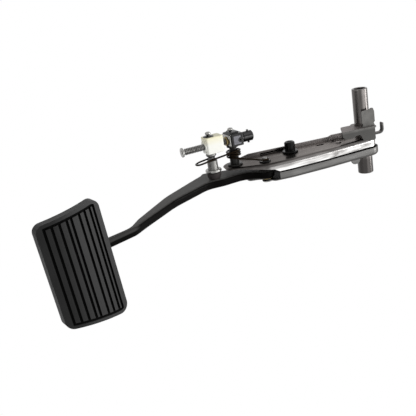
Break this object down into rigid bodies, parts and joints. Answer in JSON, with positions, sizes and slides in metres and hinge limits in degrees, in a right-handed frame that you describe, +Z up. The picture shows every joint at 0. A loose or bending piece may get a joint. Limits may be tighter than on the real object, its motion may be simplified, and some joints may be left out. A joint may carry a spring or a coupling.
{
  "type": "brake pedal",
  "caption": "Hanging brake pedal with pivot tube, pressed steel bracket, cranked arm, ribbed rubber pad and a screw-driven reach adjuster.",
  "frame": {"origin": "middle of the pivot tube's bore", "axes": "+X forward in the car, +Y along the pivot tube to the left, +Z up"},
  "size_m": [0.1967, 0.1424, 0.4271],
  "materials": {
    "bracket_steel": "pressed sheet steel, phosphate grey",
    "tab_steel": "matt zinc-plated strip",
    "black_steel": "gloss black",
    "bright_steel": "turned, bright",
    "dark_steel": "turned, oiled dark",
    "bush_bronze": "sintered bearing bronze",
    "arm_paint": "satin black coating",
    "pad_rubber": "moulded, satin",
    "nut_plastic": "natural moulded nylon",
    "screw_steel": "rolled thread, oiled",
    "housing_metal": "cast, as cast",
    "socket_plastic": "moulded, gloss",
    "spring_steel": "oil-tempered wire"
  },
  "bodies": {
    "bracket": {"pivot_tube": "bracket_steel", "upper_bracket": "bracket_steel", "lower_bracket": "bracket_steel", "switch_bracket": "tab_steel", "hook_tab": "tab_steel", "stop_tab": "bracket_steel", "push_rod_pin": "black_steel", "hinge_pin": "black_steel", "hinge_pin_cap": "bright_steel", "housing_post": "dark_steel", "housing_washer": "dark_steel", "torsion_spring": "spring_steel"},
    "arm": {"pedal_arm": "arm_paint", "hinge_bush_upper": "bush_bronze", "hinge_bush_lower": "bush_bronze", "nut_post": "bright_steel", "nut_post_collar": "bright_steel", "pad_plate": "arm_paint", "pad_rubber": "pad_rubber"},
    "housing": {"drive_housing": "housing_metal", "housing_face_plate": "bright_steel", "thrust_collar": "bush_bronze", "cable_socket": "socket_plastic", "housing_clip": "bright_steel"},
    "nut": {"lead_nut": "nut_plastic", "nut_washer": "socket_plastic", "nut_retainer": "bright_steel"},
    "screw": {"lead_screw": "screw_steel", "screw_end_stop": "bright_steel", "drive_coupler": "screw_steel"}
  },
  "joints": [
    {"name": "arm_hinge", "type": "hinge", "parent": "bracket", "child": "arm", "pos_m": [-0.02, -0.021, -0.137], "axis": [0, 1, 0], "range_deg": [0, 12], "deforming": ["torsion_spring"]},
    {"name": "housing_swing", "type": "hinge", "parent": "bracket", "child": "housing", "pos_m": [-0.0065, 0.0248, -0.1707], "axis": [0, 1, 0], "range_deg": [0, 23]},
    {"name": "nut_slide", "type": "slide", "parent": "housing", "child": "nut", "axis": [-0.1795, 0, -0.9838], "range_m": [0, 0.0055]},
    {"name": "screw_spin", "type": "hinge", "parent": "housing", "child": "screw", "pos_m": [-0.0065, 0.0248, -0.1707], "axis": [-0.1795, 0, -0.9838], "range_deg": [0, 320]}
  ],
  "couplings": [
    {"joint": "housing_swing", "follows": "arm_hinge", "ratio": 1.8744},
    {"joint": "nut_slide", "follows": "arm_hinge", "m_per_rad": 0.02407},
    {"joint": "screw_spin", "follows": "arm_hinge", "ratio": 25.206}
  ]
}
